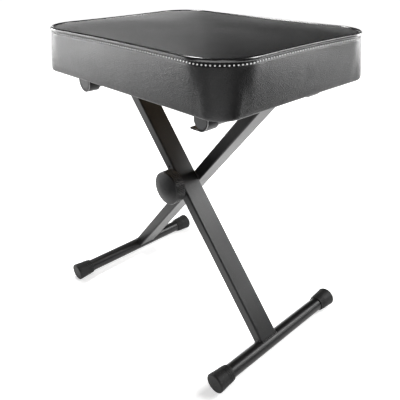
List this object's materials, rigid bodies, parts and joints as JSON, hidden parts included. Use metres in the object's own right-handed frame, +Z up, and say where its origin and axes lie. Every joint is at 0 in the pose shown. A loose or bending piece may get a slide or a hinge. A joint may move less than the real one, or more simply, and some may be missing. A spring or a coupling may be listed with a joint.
{
  "type": "folding keyboard bench",
  "caption": "Folding bench for a keyboard player: a padded black seat with piping on crossed black steel legs, with a ribbed clamp knob at the pivot and rubber feet.",
  "frame": {"origin": "on the floor, under the middle of the whole bench", "axes": "+X along the seat's long side, from the bar it turns on to the hooks; +Y away from the knob; +Z up"},
  "size_m": [0.4364, 0.3185, 0.5054],
  "materials": {
    "leg_enamel": "black powder coat, half gloss, bright along the edges",
    "bracket_enamel": "black powder coat on bent strap",
    "plain_steel": "zinc plated, dull",
    "insert_brass": "machined",
    "plug_plastic": "moulded, grey",
    "knob_plastic": "moulded, half gloss, ribbed rim",
    "nylon": "moulded nylon",
    "foot_rubber": "matte moulded rubber",
    "cover_vinyl": "black vinyl with a fine grain and a satin sheen",
    "seat_foam": "open-cell foam",
    "plywood": "unfinished plywood"
  },
  "bodies": {
    "outer_leg": {"outer_leg_tube": "leg_enamel", "outer_crossbar": "leg_enamel", "outer_crossbar_plugs": "plug_plastic", "outer_foot_bar": "leg_enamel", "outer_foot_cap_near": "foot_rubber", "outer_foot_cap_far": "foot_rubber", "outer_pivot_sleeve": "plain_steel", "friction_washer": "nylon"},
    "inner_leg": {"inner_leg_tube": "leg_enamel", "inner_crossbar": "leg_enamel", "inner_crossbar_plugs": "plug_plastic", "inner_foot_bar": "leg_enamel", "inner_foot_cap_near": "foot_rubber", "inner_foot_cap_far": "foot_rubber", "inner_pivot_sleeve": "plain_steel", "pivot_bolt": "plain_steel"},
    "clamp_washer": {"knob_washer": "plain_steel"},
    "knob": {"knob_body": "knob_plastic", "knob_insert": "insert_brass"},
    "seat": {"seat_cover": "cover_vinyl", "seat_piping": "cover_vinyl", "seat_foam": "seat_foam", "seat_board": "plywood", "cover_staples": "plain_steel", "tee_nuts": "plain_steel", "saddle_near": "bracket_enamel", "saddle_far": "bracket_enamel", "saddle_liners": "nylon", "hook_near": "bracket_enamel", "hook_far": "bracket_enamel", "hook_liners": "nylon", "bracket_screws": "plain_steel"}
  },
  "joints": [
    {"name": "scissor_fold", "type": "hinge", "parent": "outer_leg", "child": "inner_leg", "pos_m": [0, -0.007, 0.25325], "axis": [0, -1, 0], "range_deg": [0, 72]},
    {"name": "seat_tilt", "type": "hinge", "parent": "outer_leg", "child": "seat", "pos_m": [-0.13619, 0, 0.4135], "axis": [0, -1, 0], "range_deg": [0, 36]},
    {"name": "knob_travel", "type": "slide", "parent": "inner_leg", "child": "clamp_washer", "axis": [0, -1, 0], "range_m": [0, 0.0015]},
    {"name": "knob_turn", "type": "hinge", "parent": "clamp_washer", "child": "knob", "pos_m": [0, -0.06, 0.25325], "axis": [0, -1, 0], "range_deg": [0, 360]}
  ],
  "couplings": [
    {"joint": "seat_tilt", "follows": "scissor_fold", "ratio": 0.5},
    {"joint": "knob_travel", "follows": "knob_turn", "m_per_rad": 0.00023873}
  ]
}
